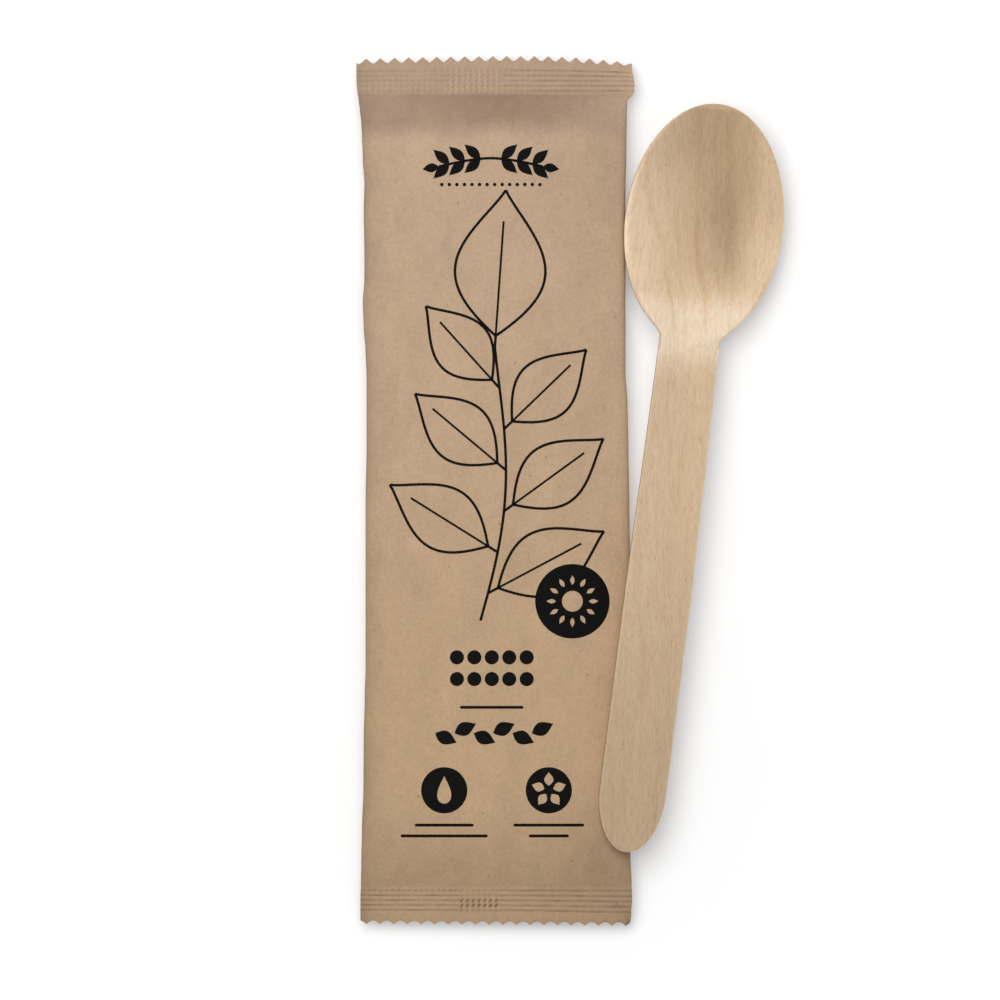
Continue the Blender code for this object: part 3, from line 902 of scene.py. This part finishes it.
def fibre_field(shader):
    """Paper's uneven formation and its fibres, as (cloud, fibres, flecks), each from 0 to 1."""
    plain = shader.coordinates()
    cloud = shader.noise(plain, 1400, detail=4.0, roughness=0.68)
    along = shader.noise(shader.coordinates(turn=0.12, stretch=(5, 1, 5)), 480, distortion=0.5)
    cross = shader.noise(shader.coordinates(turn=-1.1, stretch=(5, 1, 5)), 420, distortion=0.7)
    fibres = shader.math("MULTIPLY", shader.math("ADD", along, cross), 0.5)
    cells = shader.add("TexVoronoi", [("Vector", plain), ("Scale", 260.0)])
    gate = shader.noise(plain, 330, detail=0.0)
    near = shader.ramp(cells.outputs["Distance"], 0.10, 0.05)
    flecks = shader.math("MULTIPLY", near, shader.ramp(gate, 0.56, 0.62))
    return cloud, fibres, flecks


def kraft_material(size):
    shader = Shader(bpy.data.materials.new("kraft_paper"))
    cloud, fibres, flecks = fibre_field(shader)
    broad = shader.noise(shader.coordinates(), 160, roughness=0.6)
    base = shader.blend(shader.ramp(cloud, 0.34, 0.66), linear(size.kraft_dark), linear(size.kraft_light))
    stains = (
        (0.70, size.kraft),
        (shader.ramp(broad, 0.35, 0.7, 0.0, 0.12), size.kraft_dark),
        (shader.ramp(fibres, 0.5, 0.64, 0.0, 0.22), size.kraft_light),
        (shader.ramp(fibres, 0.48, 0.34, 0.0, 0.22), size.kraft_dark),
        (shader.math("MULTIPLY", flecks, 0.38), size.fleck),
    )
    # The tint attribute multiplies in the cloudy tone and the painted shade and light of the pack's form.
    base = shader.blend(1.0, shader.stained(base, stains), shader.attribute("tint_and_painted_shading", "Color"), "MULTIPLY")
    normal = shader.bump(cloud, 0.05 * MM, shader.bump(fibres, 0.05 * MM))
    return shader.finished(base, shader.ramp(cloud, 0.3, 0.7, 0.68, 0.84), 0.28, Normal=normal)


def ink_material(settings):
    shader = Shader(bpy.data.materials.new("black_ink"))
    cloud, fibres, _ = fibre_field(shader)
    worn = shader.ramp(fibres, 0.60, 0.72, 0.0, 0.10)
    base = shader.blend(worn, linear(settings.ink), (0.05, 0.04, 0.03, 1))
    roughness = shader.ramp(cloud, 0.3, 0.7, 0.55, 0.72)
    return shader.finished(base, roughness, 0.08, Normal=shader.bump(fibres, 0.03 * MM))


def birch_material(size):
    """Pressed birch veneer, with fine silky grain, a few growth rings and the painted light and shade of its
    tint attribute.
    """
    shader = Shader(bpy.data.materials.new("birch_veneer"))

    def grain(stretch):
        return shader.coordinates(turn=GRAIN_TURN, stretch=stretch)

    bands = shader.noise(grain((1, 0.05, 0.2)), 330, roughness=0.6)
    streaks = shader.noise(grain((1, 0.1, 0.3)), 1250, detail=4.0, roughness=0.7)
    silk = shader.noise(grain((1, 0.2, 0.5)), 3000, detail=2.0, roughness=0.65)
    fibre = shader.noise(grain((1, 0.3, 0.6)), 2300, detail=1.0)
    gate = shader.noise(grain((1, 0.35, 0)), 520, detail=1.0)
    open_pores = shader.math("MULTIPLY", shader.ramp(fibre, 0.66, 0.74), shader.ramp(gate, 0.50, 0.62))
    blush = shader.noise(grain((1, 0.07, 0.2)), 210, detail=2.0, distortion=0.3)
    banded = shader.ramp(bands, 0.36, 0.66, 0.36, 0.66)
    stains = (
        (banded, size.birch),
        (shader.ramp(streaks, 0.48, 0.70, 0.0, 0.42), size.birch_dark),
        (shader.ramp(streaks, 0.46, 0.30, 0.0, 0.30), size.birch_light),
        (shader.ramp(silk, 0.42, 0.66, 0.0, 0.38), size.birch_dark),
        (shader.ramp(silk, 0.44, 0.28, 0.0, 0.30), size.birch_light),
        (shader.math("MULTIPLY", open_pores, 0.35), size.pore),
        (shader.ramp(blush, 0.52, 0.70, 0.0, 0.16), size.figure),
    )
    base = shader.stained(linear(size.birch_light), stains)
    wander = shader.math("MULTIPLY", shader.math("SUBTRACT", streaks, 0.5), 1.6)
    ring = shader.math("ADD", shader.attribute("ring"), wander)
    along = shader.add("SeparateXYZ", [("Vector", grain((1000, 1000, 1000)))]).outputs["Y"]
    broken = shader.ramp(shader.noise(grain((1, 0.35, 0.2)), 160, detail=2.0), 0.35, 0.62, 0.35, 1.0)
    fading = shader.math("MULTIPLY", broken, shader.ramp(along, 24, 46, 0.12, 1.0))
    # The tint attribute multiplies in the painted light and shade of the spoon's form.
    base = shader.blend(1.0, base, shader.attribute("tint_and_painted_shading", "Color"), "MULTIPLY")
    for at, half_width, strength in GROWTH_RINGS:
        near = shader.math("ABSOLUTE", shader.math("SUBTRACT", ring, at))
        stain = shader.blend(1.0, base, linear(size.figure), "MULTIPLY")
        mark = shader.math("MULTIPLY", shader.ramp(near, half_width, 0.0, 0.0, strength), fading)
        base = shader.blend(mark, base, stain)
    normal = shader.bump(open_pores, -0.04 * MM, shader.bump(silk, 0.025 * MM))
    return shader.finished(base, shader.ramp(streaks, 0.3, 0.7, 0.52, 0.66), 0.3, Normal=normal)


def floor_material(glow):
    """White paper, which the camera sees pure white, with the object's soft shadow on it."""
    shader = Shader(bpy.data.materials.new("white_floor"))
    place = shader.coordinates(centre=(16 * MM, 0, 0), stretch=(1, 0.7, 1))
    distance = shader.add("VectorMath", [(0, place)], operation="LENGTH").outputs["Value"]
    path = shader.add("LightPath").outputs
    seen = shader.math("MAXIMUM", path["Is Camera Ray"], path["Is Glossy Ray"])
    seen = shader.math("MAXIMUM", seen, path["Is Transmission Ray"])
    tone = shader.blend(seen, FLOOR_GREY, FLOOR_GREY_SEEN)
    glow = shader.math("MULTIPLY", seen, shader.ramp(distance, 50 * MM, 300 * MM, glow, FLOOR_FAR_GLOW))
    return shader.finished(tone, 1.0, 0.0, **{"Emission Color": (1, 1, 1, 1), "Emission Strength": glow})


def add_object(name, data):
    obj = bpy.data.objects.new(name, data)
    bpy.context.scene.collection.objects.link(obj)
    return obj


def mesh_object(name, mesh, material):
    """An object in the scene from a bmesh, which is used up."""
    data = bpy.data.meshes.new(name)
    mesh.to_mesh(data)
    mesh.free()
    data.materials.append(material)
    return add_object(name, data)


def piece(name, mesh, material, stands_for=None):
    """A finished piece of the visual model from a bmesh, riding on the pack."""
    obj = mesh_object(name, mesh, material)
    bpy.context.view_layer.update()
    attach(obj, "root")
    if stands_for:
        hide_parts(stands_for)
    return obj


def ink_piece(name, mesh):
    settings = bpy.context.scene.spoon_pack_print
    lay_on_paper(mesh, bpy.data.objects["kraft_pack"], settings.ink_height)
    material = bpy.data.materials.get("black_ink") or ink_material(settings)
    film = piece(name, mesh, material).modifiers.new("ink_film", "SOLIDIFY")
    film.thickness = INK_FILM
    film.offset = -1


class SPOONPACK_OT_paper(bpy.types.Operator):
    """Forms the paper pack with its crimped end seals and the folded seam on its back"""

    bl_idname = "spoonpack.paper"
    bl_label = "Paper pack"

    def execute(self, context):
        size = context.scene.spoon_pack_paper
        mesh = build_paper(PackForm(size))
        obj = piece("kraft_pack", mesh, kraft_material(size), "paper_pack")
        obj.data.shade_smooth()
        obj.data.set_sharp_from_angle(angle=radians(60))
        return {"FINISHED"}


class SPOONPACK_OT_leaf_lines(bpy.types.Operator):
    """Prints the tall twig in fine black lines on the pack's front"""

    bl_idname = "spoonpack.leaf_lines"
    bl_label = "Printed twig"

    def execute(self, context):
        settings = context.scene.spoon_pack_print
        mesh = bmesh.new()
        draw_twig(mesh, settings.line_width)
        reach = settings.large_badge_radius - settings.line_width
        covered = [vertex for vertex in mesh.verts if (vertex.co.xy - LARGE_BADGE).length < reach]
        bmesh.ops.delete(mesh, geom=covered, context="VERTS")
        ink_piece("twig_lines", mesh)
        return {"FINISHED"}


class SPOONPACK_OT_badges(bpy.types.Operator):
    """Prints the round badges with the pictograms left open in them"""

    bl_idname = "spoonpack.badges"
    bl_label = "Printed badges"

    def execute(self, context):
        settings = context.scene.spoon_pack_print
        mesh = bmesh.new()
        large, small = settings.large_badge_radius, settings.badge_radius
        fill(mesh, [circle(LARGE_BADGE, large, 96), *draw_sun(LARGE_BADGE, large)])
        fill(mesh, [circle(LEFT_BADGE, small), *draw_drop(LEFT_BADGE, small)])
        fill(mesh, [circle(RIGHT_BADGE, small), *draw_flower(RIGHT_BADGE, small)])
        ink_piece("round_badges", mesh)
        return {"FINISHED"}


class SPOONPACK_OT_garland(bpy.types.Operator):
    """Prints the small garland at the top and the band of leaves further down"""

    bl_idname = "spoonpack.garland"
    bl_label = "Printed garland"

    def execute(self, context):
        mesh = bmesh.new()
        for side in (-1, 1):
            stem = []
            for step in range(11):
                stem.append((GARLAND[0] + side * step * 1.1 * MM, GARLAND[1] - 0.045 * step**1.6 * MM))
            stroke(mesh, stem, 0.55 * MM)
            fill_leaf(mesh, stem[-1], -side * 99, 3.6, 0.95)
            for number, up in enumerate((1, -1, 1, -1, 1, -1)):
                fill_leaf(mesh, stem[2 + number // 2 * 3], -side * (90 - up * 42), 4.6, 1.05)
        for number in range(14):
            fill(mesh, [circle((GARLAND[0] + (number - 6.5) * 1.6 * MM, 65.0 * MM), 0.38 * MM, 20)])
        for number in range(6):
            foot = ((-13.1 + 4.1 * number) * MM, -51.4 * MM)
            fill_leaf(mesh, foot, -66 if number % 2 else -114, 5.0, 1.45)
        ink_piece("leaf_garlands", mesh)
        return {"FINISHED"}


class SPOONPACK_OT_marks(bpy.types.Operator):
    """Prints the ten count dots and the fine rules under the badges"""

    bl_idname = "spoonpack.marks"
    bl_label = "Printed dots and rules"

    def execute(self, context):
        mesh = bmesh.new()
        for number in range(10):
            row, column = divmod(number, 5)
            centre = ((-1.1 + (column - 2) * 3.7) * MM, (-35.3 - row * 4.6) * MM)
            fill(mesh, [circle(centre, 1.5 * MM, 40)])
        for x, y, rule in RULES:
            fill(mesh, [round_bar((x * MM, y * MM), rule * MM, RULE_HEIGHT)])
        ink_piece("dots_and_rules", mesh)
        return {"FINISHED"}


class SPOONPACK_OT_spoon(bpy.types.Operator):
    """Presses the loose birch spoon and leans it on the pack's edge"""

    bl_idname = "spoonpack.spoon"
    bl_label = "Loose spoon"

    def execute(self, context):
        size = context.scene.spoon_pack_spoon
        mesh = build_spoon(SpoonForm(size))
        obj = piece("birch_spoon", mesh, birch_material(size), "loose_spoon")
        obj.data.shade_smooth()
        obj.data.set_sharp_from_angle(angle=radians(50))
        return {"FINISHED"}


class SPOONPACK_OT_stage(bpy.types.Operator):
    """Sets up the white floor, the soft lamp and the camera straight above"""

    bl_idname = "spoonpack.stage"
    bl_label = "Stage"

    def execute(self, context):
        settings = context.scene.spoon_pack_stage
        mesh = bmesh.new()
        bmesh.ops.create_grid(mesh, x_segments=1, y_segments=1, size=FLOOR_HALF_SIZE)
        bmesh.ops.translate(mesh, verts=mesh.verts, vec=(0, 0, -FLOOR_DROP))
        mesh_object("floor", mesh, floor_material(settings.floor_glow))
        self.add_lamp(settings.softbox)
        self.light_world(context, settings.dome)
        self.add_camera(context, settings)
        context.scene.view_settings.view_transform = "Standard"
        return {"FINISHED"}

    def add_lamp(self, power):
        """A square area lamp that faces the middle of the floor."""
        data = bpy.data.lights.new("softbox", "AREA")
        data.size = LAMP_SIZE
        data.energy = power
        lamp = add_object("softbox", data)
        lamp.location = LAMP_PLACE
        lamp.rotation_euler = (-LAMP_PLACE).to_track_quat("-Z", "Y").to_euler()
        lamp.visible_camera = False

    def light_world(self, context, strength):
        """White surroundings that light the pack softly and look pure white to the camera."""
        context.scene.world = bpy.data.worlds.new("white_surroundings")
        shader = Shader(context.scene.world, "Background")
        seen = shader.add("LightPath").outputs["Is Camera Ray"]
        level = shader.add("MapRange", [("Value", seen), ("To Min", strength), ("To Max", 1.0)])
        shader.set(shader.inputs["Color"], (1, 1, 1, 1))
        shader.set(shader.inputs["Strength"], level.outputs["Result"])

    def add_camera(self, context, settings):
        data = bpy.data.cameras.new("camera")
        data.sensor_width = SENSOR_WIDTH
        data.lens = SENSOR_WIDTH * (settings.camera_height - HALF_PACK_HEIGHT) / settings.frame_width
        data.clip_start = 0.05
        data.clip_end = 20.0
        camera = add_object("camera", data)
        camera.location = (*CAMERA_PLACE, settings.camera_height)
        context.scene.camera = camera


class SPOONPACK_PT_panel(bpy.types.Panel):
    """Lists the pieces and the stage in the 3D view's sidebar"""

    bl_idname = "SPOONPACK_PT_panel"
    bl_label = "Spoon pack"
    bl_space_type = "VIEW_3D"
    bl_region_type = "UI"
    bl_category = "Spoon pack"

    def draw(self, context):
        for step in STEPS:
            self.layout.operator(step.bl_idname)


STEPS = (
    SPOONPACK_OT_paper,
    SPOONPACK_OT_leaf_lines,
    SPOONPACK_OT_badges,
    SPOONPACK_OT_garland,
    SPOONPACK_OT_marks,
    SPOONPACK_OT_spoon,
    SPOONPACK_OT_stage,
)
GROUPS = {
    "spoon_pack_paper": PaperSettings,
    "spoon_pack_print": PrintSettings,
    "spoon_pack_spoon": SpoonSettings,
    "spoon_pack_stage": StageSettings,
}


def register():
    for name, group in GROUPS.items():
        bpy.utils.register_class(group)
        setattr(bpy.types.Scene, name, PointerProperty(type=group))
    for step in (*STEPS, SPOONPACK_PT_panel):
        bpy.utils.register_class(step)


def unregister():
    for step in (SPOONPACK_PT_panel, *STEPS):
        bpy.utils.unregister_class(step)
    for name, group in GROUPS.items():
        delattr(bpy.types.Scene, name)
        bpy.utils.unregister_class(group)


def main():
    register()
    bpy.ops.spoonpack.paper()
    bpy.ops.spoonpack.leaf_lines()
    bpy.ops.spoonpack.badges()
    bpy.ops.spoonpack.garland()
    bpy.ops.spoonpack.marks()
    bpy.ops.spoonpack.spoon()
    bpy.ops.spoonpack.stage()


if __name__ == "__main__":
    main()
